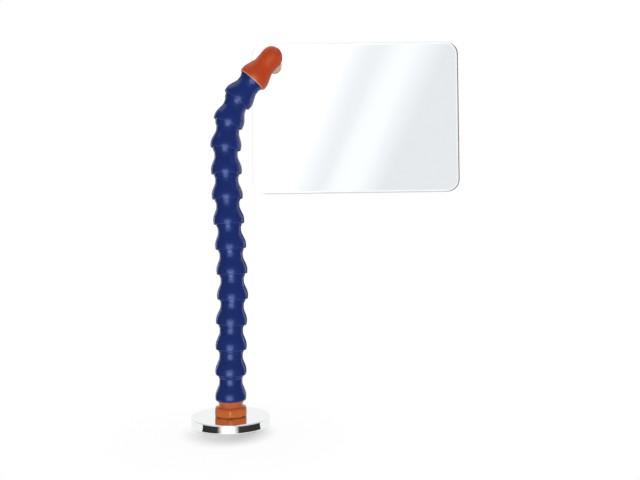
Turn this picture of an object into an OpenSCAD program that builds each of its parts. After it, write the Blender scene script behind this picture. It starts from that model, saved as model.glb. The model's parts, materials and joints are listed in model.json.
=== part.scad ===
// Clear shield plate on a flexible ball-and-socket arm with a round magnetic base.
// Frame: origin at the centre of the base's underside, +Z up, +X towards the plate,
// and the plate hangs behind the arm, on its +Y side. All lengths are in millimetres.

/* [Magnetic base] */
// Diameter of the plated steel cup
cup_d = 76.2; // [64:0.2:100]
// Height of the cup, from its rim to its top face
cup_h = 8; // [7:0.5:14]
// Thickness of the cup's side wall
cup_wall = 3.2; // [2:0.2:6]
// Thickness of the cup's top plate
cup_top_t = 2.7; // [2:0.1:3]
// Radius that rounds the cup's top edge
cup_edge_r = 0.9; // [0.3:0.1:1.5]
// Diameter of the hole through the ring magnet
magnet_hole_d = 26; // [18:1:40]
// How far the magnet's face sits above the cup's rim
magnet_recess = 0.3; // [0.1:0.1:0.6]

/* [Base screw] */
// Thread diameter of the screw that holds the arm to the cup
screw_d = 6; // [4:0.5:8]
// Head diameter of the screw
screw_head_d = 11; // [10:0.5:14]
// Head height of the screw
screw_head_h = 3.2; // [2.4:0.1:3.4]
// Length of the screw's shank below its head
screw_l = 15; // [11:0.5:16]
// Size across the flats of the hexagon socket in the screw's head
screw_key_af = 4; // [2.5:0.5:5]
// Depth of the hexagon socket in the screw's head
screw_key_depth = 1.9; // [1:0.1:2]
// Thickness of the split lock washer
lock_washer_t = 1.5; // [1:0.1:1.6]

/* [Base connector] */
// Size across the flats of the connector's hexagon
hex_af = 30.2; // [26:0.2:36]
// Height of the hexagon
hex_h = 8.8; // [6:0.2:14]
// Radius of the flat ring left on top of the hexagon by its chamfer
hex_top_r = 14.2; // [12:0.1:14.8]
// Slope of the chamfer that breaks the hexagon's top corners, in degrees
hex_chamfer_angle = 20; // [10:1:35]
// Turn of the hexagon about the arm when it is screwed tight, in degrees
hex_turn = 8; // [0:1:59]
// Straight neck between the hexagon and the ball
connector_neck_l = 2.8; // [2:0.1:8]

/* [Arm segments] */
// Number of ball-and-socket segments
segment_count = 13; // [6:1:16]
// Distance from one ball's centre to the next
segment_pitch = 24.4; // [22:0.1:30]
// Radius of the ball
ball_r = 12.9; // [12:0.1:14]
// Height of the ball above its centre, where it is cut off flat
ball_top = 8; // [6:0.5:10]
// Radius of the neck below the ball
neck_r = 11.2; // [10:0.1:11.4]
// Radius of the bore through the arm
bore_r = 6.35; // [4:0.05:8]
// Radial play between a ball and its seat
ball_play = 0.05; // [0.02:0.01:0.1]
// Wall of the socket, measured outwards from its seat
socket_wall = 2.05; // [1.6:0.05:4]
// Depth that the socket's lip reaches past the ball's centre
lip_drop = 2.9; // [2.2:0.1:3.2]
// Height of the socket's widest ring above the ball's centre
bulge_rise = 0.8; // [0:0.1:2]
// Slope of the flank that runs from the socket down to the neck, in degrees
flank_angle = 22.8; // [20:0.2:30]
// Chamfer inside the lip, which lets the arm bend further
lip_chamfer = 0.7; // [0.4:0.1:0.8]
// Chamfer round the outside of the lip
lip_edge = 0.4; // [0.2:0.1:0.6]

/* [Arm's rest bend] */
// Bend at the crook's four joints, from the third segment from the top up to the head
crook_bend = [8, 16, 15.5, 2]; // [0:0.5:17]

/* [Head elbow] */
// Wall of the head's socket, measured outwards from its seat
head_wall = 1.6; // [1.4:0.05:4]
// Slope of the flank that runs from the head's socket up to its waist, in degrees
head_flank_angle = 19; // [15:0.2:30]
// Distance from the head's socket centre to the middle of its elbow
elbow_rise = 27; // [25:0.1:36]
// Radius of the head's waist and of its rounded elbow
elbow_r = 10.4; // [9:0.1:11]
// Radius of the barrel where it leaves the elbow
barrel_r = 9.7; // [8.5:0.1:10.2]
// Length of the barrel, from the elbow's middle to its shoulder
barrel_l = 6; // [4:0.5:10]
// Length of the taper from the barrel to the nozzle
taper_l = 5; // [2:0.5:8]
// Radius of the nozzle
nozzle_r = 7.2; // [6:0.1:8]
// Distance from the elbow's middle to the nozzle's end face
nozzle_reach = 24; // [20:0.5:40]
// Radius of the threaded stud that carries the plate
stud_r = 4.5; // [3:0.1:5.5]

/* [Shield plate] */
// Width of the plate
plate_w = 209; // [120:1:300]
// Height of the plate
plate_h = 152.4; // [90:0.2:240]
// Thickness of the plate
plate_t = 3; // [1.5:0.1:6]
// Radius of the plate's corners
plate_corner_r = 13; // [5:0.5:25]
// Distance from the plate's near side edge to its hole
hole_from_side = 22.4; // [18:0.1:40]
// Distance from the plate's top edge to its hole
hole_from_top = 20.9; // [18:0.1:40]
// Radial play of the plate's hole on the stud
plate_play = 0.3; // [0.1:0.05:0.6]
// Turn of the plate on its stud at rest, in degrees
plate_turn = 0.7; // [-10:0.1:10]

/* [Washers and cap nut] */
// Diameter of the two flat washers
washer_d = 16; // [13:0.5:20]
// Thickness of each flat washer
washer_t = 1.5; // [0.8:0.1:3]
// Diameter of the cap nut
nut_d = 14.4; // [13:0.2:20]
// Height of the cap nut
nut_h = 8; // [6:0.5:12]
// Wall that closes the cap nut beyond the stud's end
nut_cap_t = 2.2; // [1.8:0.1:3]
// Width of the screwdriver slot in the cap nut
nut_slot_w = 1.6; // [1:0.1:2.5]
// Depth of the screwdriver slot
nut_slot_depth = 1.3; // [0.8:0.1:1.5]

/* [Hidden] */
$fn = 96;
// Lean from vertical of the segments below the crook, in degrees: a hand-set arm is never quite straight
sway = [0, 0.5, 0.5, 2.5, -1.5, -3, -4.5, -3.5, -2, -1.5];
// Radial clearance of a part that is glued or screwed into another
fit_gap = 0.05;
// Radial clearance of a loose hole round a screw
loose_gap = 0.3;
// Overrun of a cutter past the face that it cuts
over = 1;
// Chamfer on small turned edges
small_edge = 0.4;
// Solid floor left in the connector beyond the screw's tip
screw_cover = 1.5;
// Half-size of a square that is larger than any turned outline
far = 500;

crook_count = 3;
straight_count = segment_count - crook_count;
seat_r = ball_r + ball_play;
// Depth below a ball's centre at which its neck meets it
ball_drop = sqrt(ball_r * ball_r - neck_r * neck_r);
// Radius of the seat at the inner edge of its lip
mouth_r = sqrt(pow(seat_r, 2) - pow(lip_drop - lip_chamfer, 2));

cup_r = cup_d / 2;
magnet_r = cup_r - cup_wall;
pocket_h = cup_h - cup_top_t;
first_ball_z = cup_h + hex_h + connector_neck_l + ball_drop;
// The screw's head hangs below the lock washer, which bears on the cup's top plate
screw_seat_z = pocket_h - lock_washer_t;
screw_tip_z = screw_seat_z + screw_l;
// The connector is bored from above as far as this floor, clear of the screw's tip
connector_floor_z = max(screw_tip_z + screw_cover, first_ball_z - ball_drop);

plate_front_y = nozzle_reach + washer_t;
plate_back_y = plate_front_y + plate_t;
nut_y = plate_back_y + washer_t;
stud_end_y = nut_y + nut_h - nut_cap_t;

function segment_name(k) = str("arm_segment_", k < 10 ? "0" : "", k);
// Lean from vertical of segment k, counted from 0 at the base; k = segment_count is the head
function lean(k) =
    k < straight_count
        ? (k < len(sway) ? sway[k] : 0)
        : lean(k - 1) + crook_bend[k - straight_count];
// Centre of the ball that segment k sits on
function ball_centre(k) =
    k == 0
        ? [0, 0, first_ball_z]
        : ball_centre(k - 1) + segment_pitch * [sin(lean(k - 1)), 0, cos(lean(k - 1))];
// Middle of the head's elbow, on the line of its nozzle and stud
elbow_centre = ball_centre(segment_count)
    + elbow_rise * [sin(lean(segment_count)), 0, cos(lean(segment_count))];

// Puts its children on ball k, leaning as the segment there does
module on_ball(k) {
    translate(ball_centre(k)) rotate([0, lean(k), 0]) children();
}

// Puts its children on the stud's line, with their Z along it and away from the elbow
module on_stud(y) {
    translate(elbow_centre + [0, y, 0]) rotate([-90, 0, 0]) children();
}

// Outline of a socket: its round bulge, and a flank that leaves it at a tangent and runs in to waist_r
module socket_outline(wall, slope, waist_r) {
    bulge_r = seat_r + wall;
    flank_z = bulge_rise + bulge_r * sin(slope);
    flank_r = bulge_r * cos(slope);
    waist_z = flank_z + (flank_r - waist_r) / tan(slope);
    intersection() {
        translate([0, bulge_rise]) circle(r = bulge_r);
        translate([0, -lip_drop]) square([bulge_r + over, lip_drop + flank_z]);
    }
    polygon([[0, flank_z - over], [flank_r, flank_z - over], [flank_r, flank_z],
        [waist_r, waist_z], [0, waist_z]]);
    translate([0, waist_z - over]) square([waist_r, over]);
}

// Outline of what is cut out of a socket: the ball's seat and the chamfers at its lip
module seat_outline(wall) {
    // Radius of the bulge at the lip's plane
    lip_r = sqrt(pow(seat_r + wall, 2) - pow(lip_drop + bulge_rise, 2));
    circle(r = seat_r);
    polygon([[0, -lip_drop - over], [mouth_r + lip_chamfer + over, -lip_drop - over],
        [mouth_r, -lip_drop + lip_chamfer], [0, -lip_drop + lip_chamfer]]);
    polygon([[lip_r - lip_edge, -lip_drop], [lip_r + over, -lip_drop - over],
        [lip_r + over, -lip_drop + lip_edge + over]]);
}

// Outline of a ball on its neck, with the ball's centre at height z
module ball_outline(z, neck_from) {
    translate([0, neck_from]) square([neck_r, z - neck_from]);
    intersection() {
        translate([0, z]) circle(r = ball_r);
        translate([0, z - ball_drop]) square([ball_r + over, ball_drop + ball_top]);
    }
}

// Keeps the half of an outline that can be turned about the axis
module right_half() {
    intersection() {
        children();
        translate([0, -far]) square([far, 2 * far]);
    }
}

module magnet_cup() {
    color("gainsboro") rotate_extrude() difference() {
        union() {
            square([cup_r - cup_edge_r, cup_h]);
            square([cup_r, cup_h - cup_edge_r]);
            translate([cup_r - cup_edge_r, cup_h - cup_edge_r]) circle(r = cup_edge_r);
        }
        translate([0, -over]) square([magnet_r, pocket_h + over]);
        translate([0, -over]) square([screw_d / 2 + loose_gap, cup_h + 2 * over]);
    }
}

module ring_magnet() {
    color("dimgray") rotate_extrude() difference() {
        translate([magnet_hole_d / 2, magnet_recess])
            square([magnet_r - fit_gap - magnet_hole_d / 2, pocket_h - magnet_recess]);
        translate([magnet_hole_d / 2, magnet_recess]) rotate(45)
            square(small_edge * sqrt(2), center = true);
    }
}

module base_screw() {
    color("silver") difference() {
        rotate_extrude() {
            translate([0, screw_seat_z]) square([screw_d / 2, screw_l - small_edge]);
            polygon([[0, screw_tip_z - small_edge], [screw_d / 2, screw_tip_z - small_edge],
                [screw_d / 2 - small_edge, screw_tip_z], [0, screw_tip_z]]);
            translate([0, screw_seat_z - screw_head_h]) polygon([[0, 0],
                [screw_head_d / 2 - small_edge, 0], [screw_head_d / 2, small_edge],
                [screw_head_d / 2, screw_head_h], [0, screw_head_h]]);
        }
        translate([0, 0, screw_seat_z - screw_head_h - over])
            cylinder(d = screw_key_af / cos(30), h = screw_key_depth + over, $fn = 6);
    }
}

module lock_washer() {
    color("silver") translate([0, 0, screw_seat_z]) difference() {
        cylinder(d = screw_head_d, h = lock_washer_t);
        translate([0, 0, -over]) cylinder(r = screw_d / 2 + fit_gap, h = lock_washer_t + 2 * over);
        translate([0, -lock_washer_t / 2, -over])
            cube([screw_head_d, lock_washer_t / 2, lock_washer_t + 2 * over]);
    }
}

module base_connector() {
    hex_r = hex_af / 2 / cos(30);
    chamfer_drop = (hex_r - hex_top_r) * tan(hex_chamfer_angle);
    color("darkorange") translate([0, 0, cup_h]) difference() {
        union() {
            intersection() {
                rotate([0, 0, 30 + hex_turn]) cylinder(r = hex_r, h = hex_h, $fn = 6);
                rotate_extrude() polygon([[0, 0], [hex_r + over, 0],
                    [hex_r + over, hex_h - chamfer_drop - over * tan(hex_chamfer_angle)],
                    [hex_top_r, hex_h], [0, hex_h]]);
            }
            rotate_extrude() ball_outline(first_ball_z - cup_h, hex_h - over);
        }
        translate([0, 0, connector_floor_z - cup_h]) cylinder(r = bore_r, h = first_ball_z);
        translate([0, 0, -over])
            cylinder(r = screw_d / 2 + fit_gap, h = screw_tip_z - cup_h + fit_gap + over);
    }
}

module arm_segment(k) {
    color("darkslateblue") on_ball(k - 1) rotate_extrude() right_half() difference() {
        union() {
            socket_outline(socket_wall, flank_angle, neck_r);
            ball_outline(segment_pitch, ball_top);
        }
        seat_outline(socket_wall);
        square([bore_r, segment_pitch + ball_top + over]);
    }
}

module head_elbow() {
    color("orangered") {
        difference() {
            union() {
                on_ball(segment_count) rotate_extrude() right_half() {
                    socket_outline(head_wall, head_flank_angle, elbow_r);
                    translate([0, ball_top]) square([elbow_r, elbow_rise - ball_top]);
                    translate([0, elbow_rise]) circle(r = elbow_r);
                }
                on_stud(0) rotate_extrude() polygon([[0, 0], [barrel_r, 0], [barrel_r, barrel_l],
                    [nozzle_r, barrel_l + taper_l], [nozzle_r, nozzle_reach], [stud_r, nozzle_reach],
                    [stud_r, stud_end_y - small_edge], [stud_r - small_edge, stud_end_y],
                    [0, stud_end_y]]);
            }
            on_ball(segment_count) rotate_extrude() right_half() {
                seat_outline(head_wall);
                square([bore_r, elbow_rise]);
            }
        }
    }
}

module flat_washer(y) {
    on_stud(y) rotate_extrude() translate([stud_r + fit_gap, 0])
        square([washer_d / 2 - stud_r - fit_gap, washer_t]);
}

module front_washer() {
    color("whitesmoke") flat_washer(nozzle_reach);
}

module back_washer() {
    color("whitesmoke") flat_washer(plate_back_y);
}

module shield_plate() {
    inner = [plate_w - 2 * plate_corner_r, plate_h - 2 * plate_corner_r];
    color("aliceblue", 0.4) translate(elbow_centre + [0, plate_back_y, 0])
        rotate([90, -plate_turn, 0]) linear_extrude(plate_t) difference() {
            translate([-hole_from_side, hole_from_top - plate_h]) {
                translate([plate_corner_r, 0]) square([inner[0], plate_h]);
                translate([0, plate_corner_r]) square([plate_w, inner[1]]);
                for (x = [0, inner[0]], y = [0, inner[1]])
                    translate([x + plate_corner_r, y + plate_corner_r]) circle(r = plate_corner_r);
            }
            circle(r = stud_r + plate_play);
        }
}

module cap_nut() {
    color("orangered") on_stud(nut_y) difference() {
        rotate_extrude() polygon([[stud_r + fit_gap, 0], [nut_d / 2, 0],
            [nut_d / 2, nut_h - 2 * small_edge], [nut_d / 2 - 2 * small_edge, nut_h], [0, nut_h],
            [0, stud_end_y - nut_y + fit_gap], [stud_r + fit_gap, stud_end_y - nut_y + fit_gap]]);
        translate([-nut_d / 2 - over, -nut_slot_w / 2, nut_h - nut_slot_depth])
            cube([nut_d + 2 * over, nut_slot_w, nut_slot_depth + over]);
    }
}

magnet_cup();
ring_magnet();
base_screw();
lock_washer();
base_connector();
for (k = [1 : segment_count])
    arm_segment(k);
head_elbow();
front_washer();
shield_plate();
back_washer();
cap_nut();
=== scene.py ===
"""Looks of the clear shield on its flexible ball-and-socket arm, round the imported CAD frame."""
import json
import math

import bmesh
import bpy
import numpy as np
from mathutils import Matrix, Vector


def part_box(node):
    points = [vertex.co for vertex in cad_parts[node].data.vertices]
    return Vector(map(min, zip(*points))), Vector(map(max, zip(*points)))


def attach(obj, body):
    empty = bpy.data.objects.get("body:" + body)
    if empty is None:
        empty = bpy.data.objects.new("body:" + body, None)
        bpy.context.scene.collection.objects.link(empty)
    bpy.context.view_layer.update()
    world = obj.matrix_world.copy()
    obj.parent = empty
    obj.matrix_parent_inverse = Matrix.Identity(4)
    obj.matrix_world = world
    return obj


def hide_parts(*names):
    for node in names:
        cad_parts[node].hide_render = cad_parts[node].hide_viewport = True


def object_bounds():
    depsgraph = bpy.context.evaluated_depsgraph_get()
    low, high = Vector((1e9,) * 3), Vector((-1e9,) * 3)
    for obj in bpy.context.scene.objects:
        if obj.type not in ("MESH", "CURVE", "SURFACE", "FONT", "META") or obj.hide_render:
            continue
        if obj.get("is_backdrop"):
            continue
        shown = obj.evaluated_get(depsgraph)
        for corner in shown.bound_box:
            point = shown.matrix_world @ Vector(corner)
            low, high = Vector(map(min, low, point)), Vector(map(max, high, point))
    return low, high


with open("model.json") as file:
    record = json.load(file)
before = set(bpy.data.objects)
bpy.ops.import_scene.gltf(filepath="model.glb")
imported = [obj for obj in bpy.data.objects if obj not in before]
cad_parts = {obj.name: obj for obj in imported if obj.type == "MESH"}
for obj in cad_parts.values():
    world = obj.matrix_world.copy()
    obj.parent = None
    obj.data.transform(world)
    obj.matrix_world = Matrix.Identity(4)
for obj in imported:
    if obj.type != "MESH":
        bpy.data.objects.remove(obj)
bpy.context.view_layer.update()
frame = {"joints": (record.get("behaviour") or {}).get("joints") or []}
scene = bpy.context.scene

MM = 0.001

# Sizes of the part in millimetres and degrees, as its source gives them or works them out
BALL_R = 12.9
BALL_TOP = 8.0
NECK_R = 11.2
BORE_R = 6.35
SEAT_R = 12.95
SEGMENT_WALL = 2.05
HEAD_WALL = 1.6
LIP_DROP = 2.9
LIP_CHAMFER = 0.7
LIP_EDGE = 0.4
BULGE_RISE = 0.8
SEGMENT_FLANK = 22.8
HEAD_FLANK = 19.0
ELBOW_R = 10.4
BARREL_R = 9.7
BARREL_L = 6.0
TAPER_L = 5.0
NOZZLE_R = 7.2
NOZZLE_REACH = 24.0
STUD_R = 4.5
STUD_END = 35.8
HEX_AF = 30.2
HEX_H = 8.8
HEX_TOP_R = 14.2
HEX_CHAMFER = 20.0
HEX_TURN = 8.0
HEX_HOLE_TOP = 18.85
HEX_BORE_FLOOR = 20.3
CUP_R = 38.1
CUP_H = 8.0
CUP_WALL = 3.2
CUP_TOP = 2.7
CUP_EDGE_R = 0.9
CUP_HOLE_R = 3.3
MAGNET_R = 34.85
MAGNET_HOLE_R = 13.0
MAGNET_LOW = 0.3
MAGNET_HIGH = 5.3
SCREW_R = 3.0
SCREW_TIP = 18.8
SCREW_HOLE_R = 3.05
SCREW_HEAD_R = 5.5
SCREW_HEAD_LOW = 0.6
SCREW_HEAD_HIGH = 3.8
SCREW_KEY_AF = 4.0
SCREW_KEY_TOP = 2.5
LOCK_WASHER_T = 1.5
LOCK_WASHER_Z = 4.55
LOCK_WASHER_SPLIT = 0.75
PLATE_W = 209.0
PLATE_H = 152.4
PLATE_CORNER_R = 13.0
PLATE_FRONT = 25.5
PLATE_BACK = 28.5
HOLE_FROM_SIDE = 22.4
HOLE_FROM_TOP = 20.9
PLATE_TURN = 0.7
WASHER_R = 8.0
WASHER_T = 1.5
NUT_R = 7.2
NUT_H = 8.0
NUT_SLOT_W = 1.6
NUT_SLOT_DEPTH = 1.3
FIT_GAP = 0.05
PLATE_PLAY = 0.3

# Small forms that the part's source leaves out, and sizes that only the looks need
HEX_FOOT_R = 13.8
HEX_FOOT_CHAMFER = 32.0
SCREW_SHANK_LOW = 3
NUT_FLUTES = 24
NUT_FLUTE_DEPTH = 0.28
# the nylon washers stay this clear of the faces that turn against them
WASHER_RUN = 0.01
# a painted pale highlight covers the sockets' lips this far up, and the head's at this share
SEGMENT_PAINTED_LIGHT = 0.7
HEAD_PAINTED_LIGHT = 1.3
HEAD_PAINTED_LIGHT_SHARE = 0.8

# the balls' centres, the elbow's centre in the arm's plane, the segments' pitch, and how far each
# piece of the arm leans from upright
balls = [Vector(j["pos_m"]) for j in frame["joints"][:-1]]
elbow = Vector((frame["joints"][-1]["pos_m"][0], 0.0, frame["joints"][-1]["pos_m"][2]))
pitch = (balls[1] - balls[0]).length
stops = balls + [elbow]
leans = [math.atan2((b - a).x, (b - a).z) for a, b in zip(stops, stops[1:])]


# ---------------------------------------------------------------- materials

SHEET_IOR = 1.585


def linear(colour):
    """Turns an sRGB hex colour into the linear values that the shaders work in."""
    parts = [int(colour[i:i + 2], 16) / 255 for i in (0, 2, 4)]
    return tuple(c / 12.92 if c <= 0.04045 else ((c + 0.055) / 1.055) ** 2.4
                 for c in parts) + (1.0,)


def add_node(tree, kind, settings=None, inputs=None):
    """Adds a node, sets its settings, and gives each named input a value or a link."""
    node = tree.nodes.new(kind)
    for name, value in (settings or {}).items():
        setattr(node, name, value)
    for name, value in (inputs or {}).items():
        if isinstance(value, bpy.types.NodeSocket):
            tree.links.new(value, node.inputs[name])
        else:
            node.inputs[name].default_value = value
    return node


def mix_colours(tree, share, first, second):
    """A blend of two colours. The node's sockets go by number, because their names repeat."""
    mix = add_node(tree, "ShaderNodeMix", {"data_type": "RGBA"}, {0: share, 6: first, 7: second})
    return mix.outputs[2]


def noise(tree, place, size, detail, roughness=0.5):
    """Noise whose patches are about that size, in metres or in the units of a scaled place."""
    node = add_node(tree, "ShaderNodeTexNoise", None, {"Vector": place, "Scale": 1 / size,
                                                       "Detail": detail, "Roughness": roughness})
    return node.outputs["Fac"]


def ramp(tree, value, low, high, start=0.0, end=1.0, kind="LINEAR"):
    """A value that runs from low to high while another runs from start to end."""
    node = add_node(tree, "ShaderNodeMapRange", {"interpolation_type": kind},
                    {"Value": value, "From Min": start, "From Max": end, "To Min": low,
                     "To Max": high})
    return node.outputs[0]


def bump(tree, height, strength, distance):
    """The normal of a relief that rises by at most that distance."""
    node = add_node(tree, "ShaderNodeBump", None,
                    {"Height": height, "Strength": strength, "Distance": distance})
    return node.outputs[0]


def calculate(tree, operation, a, b):
    """The result of a Math node."""
    return add_node(tree, "ShaderNodeMath", {"operation": operation}, {0: a, 1: b}).outputs[0]


def new_material(name):
    """A new material, its tree and the Object coordinates."""
    material = bpy.data.materials.new(name)
    material.use_nodes = True
    tree = material.node_tree
    tree.nodes.clear()
    place = add_node(tree, "ShaderNodeTexCoord").outputs["Object"]
    return material, tree, place


def finish_material(material, kind, inputs):
    """Gives a material its shader and its output."""
    tree = material.node_tree
    shader = add_node(tree, kind, None, inputs).outputs[0]
    add_node(tree, "ShaderNodeOutputMaterial", None, {"Surface": shader})
    return material


def moulded_acetal(name, body, cloud, scuff, painted_light, gleam, rough_low, rough_high, rim_gloss):
    """Injection-moulded acetal: a dense, slightly waxy gloss, which dies away where the skin is
    seen edge-on. The colour clouds a little over several millimetres where the dye flowed, the die
    leaves a fine even grain in the shine, handling leaves small duller scuffs, and a pale colour
    on the lips and on the head's nozzle is painted light."""
    material, tree, place = new_material(name)
    flow = noise(tree, place, size=9 * MM, detail=3.0)
    clouded = mix_colours(tree, flow, linear(body), linear(cloud))
    # scuffs 1.5 mm across and thinly spread
    wear = noise(tree, place, size=1.5 * MM, detail=6.0, roughness=0.65)
    sparse = ramp(tree, wear, 0.0, 0.35, start=0.58, end=0.74)
    coloured = mix_colours(tree, sparse, clouded, linear(scuff))
    # the pale colour mixed in here is a painted highlight on the lips and painted light on the
    # nozzle
    painted_light_mask = add_node(tree, "ShaderNodeAttribute", {"attribute_name": "painted_light_mask"}).outputs["Fac"]
    paled = mix_colours(tree, painted_light_mask, coloured, linear(painted_light))
    shine = ramp(tree, wear, rough_low, rough_high, start=0.3, end=0.75)
    # the die's grain, 0.35 mm across, a few microns deep
    grain = noise(tree, place, size=0.35 * MM, detail=2.0)
    relief = bump(tree, grain, strength=0.5, distance=0.008 * MM)
    edge_on = add_node(tree, "ShaderNodeLayerWeight", None, {"Blend": 0.5}).outputs["Facing"]
    gloss = ramp(tree, edge_on, 0.5, rim_gloss, start=0.3, end=0.75)
    return finish_material(material, "ShaderNodeBsdfPrincipled", {
        "Base Color": paled, "Roughness": shine, "IOR": 1.48, "Specular IOR Level": gloss,
        "Specular Tint": linear(gleam), "Normal": relief})


def chrome_plate():
    """Bright chrome plate on a turned steel cup: a mirror finish in which the lathe's rings still
    show as a faint ripple, with a few smears where it has been handled."""
    material, tree, place = new_material("bright_chrome_plate")
    # turning rings about 3 mm apart: the texture's own are pi / 10 apart, divided by its scale
    rings = add_node(tree, "ShaderNodeTexWave",
                     {"wave_type": "RINGS", "rings_direction": "Z"},
                     {"Vector": place, "Scale": 0.1 / MM, "Distortion": 0.4, "Detail": 2.0})
    smear = noise(tree, place, size=14 * MM, detail=5.0, roughness=0.6)
    return finish_material(material, "ShaderNodeBsdfPrincipled", {
        "Base Color": linear("EDF0F0"), "Metallic": 1.0,
        "Roughness": ramp(tree, smear, 0.05, 0.13, start=0.35, end=0.75),
        "Normal": bump(tree, rings.outputs["Fac"], strength=0.3, distance=0.002 * MM)})


def zinc_plate():
    """Zinc-plated steel: a grey-blue metal with a soft cloudy shine."""
    material, tree, place = new_material("zinc_plated_steel")
    cloud = noise(tree, place, size=1.2 * MM, detail=5.0, roughness=0.6)
    return finish_material(material, "ShaderNodeBsdfPrincipled", {
        "Base Color": mix_colours(tree, cloud, linear("AEB2B8"), linear("C9C8C0")),
        "Metallic": 1.0, "Roughness": ramp(tree, cloud, 0.24, 0.42)})


def ground_ferrite():
    """Sintered ferrite with a ground face: a charcoal ceramic with pinholes and fine straight
    grinding marks."""
    material, tree, place = new_material("ground_ferrite")
    across = add_node(tree, "ShaderNodeMapping", None,
                      {"Vector": place, "Scale": (1 / (0.5 * MM), 1 / (18 * MM), 1 / (4 * MM))})
    marks = noise(tree, across.outputs[0], size=1, detail=3.0)
    holes = noise(tree, place, size=0.8 * MM, detail=4.0)
    return finish_material(material, "ShaderNodeBsdfPrincipled", {
        "Base Color": mix_colours(tree, marks, linear("26272A"), linear("4A4B4E")),
        "Roughness": 0.55, "IOR": 2.0,
        "Normal": bump(tree, holes, strength=0.4, distance=0.05 * MM)})


def clear_sheet():
    """Polished polycarbonate sheet: clear and faintly blue in its depth, almost without surface
    marks, with hairline wipe marks that only the glare brings out."""
    material, tree, place = new_material("clear_polycarbonate_sheet")
    along = add_node(tree, "ShaderNodeMapping", None,
                     {"Vector": place, "Rotation": (0, math.radians(35), 0),
                      "Scale": (1 / (0.6 * MM), 1 / (3 * MM), 1 / (30 * MM))})
    wipes = noise(tree, along.outputs[0], size=1, detail=4.0)
    return finish_material(material, "ShaderNodeBsdfPrincipled", {
        "Base Color": linear("EBEFF2"),
        "Roughness": ramp(tree, wipes, 0.0, 0.05, start=0.45, end=0.8),
        "IOR": SHEET_IOR, "Transmission Weight": 1.0})


def milled_edge():
    """Milled polycarbonate edge: satin from the cutter's fine marks, which lets the light through
    pale, with painted shade in grey that also stops the light: most along the outer side, less
    below, and least beside the arm."""
    material, tree, place = new_material("milled_polycarbonate_edge")
    painted_edge_shade = add_node(tree, "ShaderNodeAttribute", {"attribute_name": "painted_edge_shade"}).outputs["Fac"]
    # cutter marks 0.25 mm across
    marks = noise(tree, place, size=0.25 * MM, detail=2.0)
    # the grey is painted shade, as if lit from the upper left, and where it is painted the edge
    # lets no light through
    return finish_material(material, "ShaderNodeBsdfPrincipled", {
        "Base Color": mix_colours(tree, painted_edge_shade, linear("F4F7F8"), linear("2C2F33")),
        "Roughness": ramp(tree, marks, 0.25, 0.45), "IOR": SHEET_IOR,
        "Transmission Weight": ramp(tree, painted_edge_shade, 1.0, 0.0)})


def natural_nylon():
    """Moulded natural nylon that has yellowed: milky and matt, with a little light let in at its
    edges."""
    material, tree, place = new_material("natural_nylon")
    cloud = noise(tree, place, size=3 * MM, detail=3.0)
    return finish_material(material, "ShaderNodeBsdfPrincipled", {
        "Base Color": mix_colours(tree, cloud, linear("F8DAB4"), linear("FBE4C8")),
        "Roughness": ramp(tree, cloud, 0.42, 0.55), "IOR": 1.53, "Subsurface Weight": 0.15,
        "Subsurface Scale": 0.5 * MM})


# each acetal's body, cloud and scuff colours, the pale colour of its painted lip highlight, and
# the tint of its gloss
BLUE = moulded_acetal("blue_moulded_acetal", "1E3474", "243378", "38488C", "3E5096", "B4CCFF",
                      rough_low=0.18, rough_high=0.27, rim_gloss=0.4)
# the head's darker, redder copy of the orange acetal is painted shade
ORANGE_PAINTED_SHADE = moulded_acetal("orange_moulded_acetal_painted_shade", "CA4622", "C04C26", "DA7850", "F8BC98",
                            "FFD0A0", rough_low=0.3, rough_high=0.4, rim_gloss=0.05)
ORANGE = moulded_acetal("orange_moulded_acetal", "D66C3A", "D2703E", "DE8C60", "F4B488",
                        "FFD890", rough_low=0.13, rough_high=0.22, rim_gloss=0.2)
# the cap nut's paler copy of the orange acetal is painted light
ORANGE_PAINTED_LIGHT = moulded_acetal("orange_moulded_acetal_painted_light", "F8BC88", "F6C090", "F8D0AC",
                             "FAD8BC", "FFE0B0", rough_low=0.22, rough_high=0.32, rim_gloss=0.2)
CHROME = chrome_plate()
ZINC = zinc_plate()
FERRITE = ground_ferrite()
CLEAR = clear_sheet()
EDGE = milled_edge()
NYLON = natural_nylon()


# ---------------------------------------------------------------- turned pieces

# steps in a rounded corner and round a segment, and degrees between the points of an arc
CORNER_STEPS = 4
SEGMENT_STEPS = 96
ARC_STEP = 4.0


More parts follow.
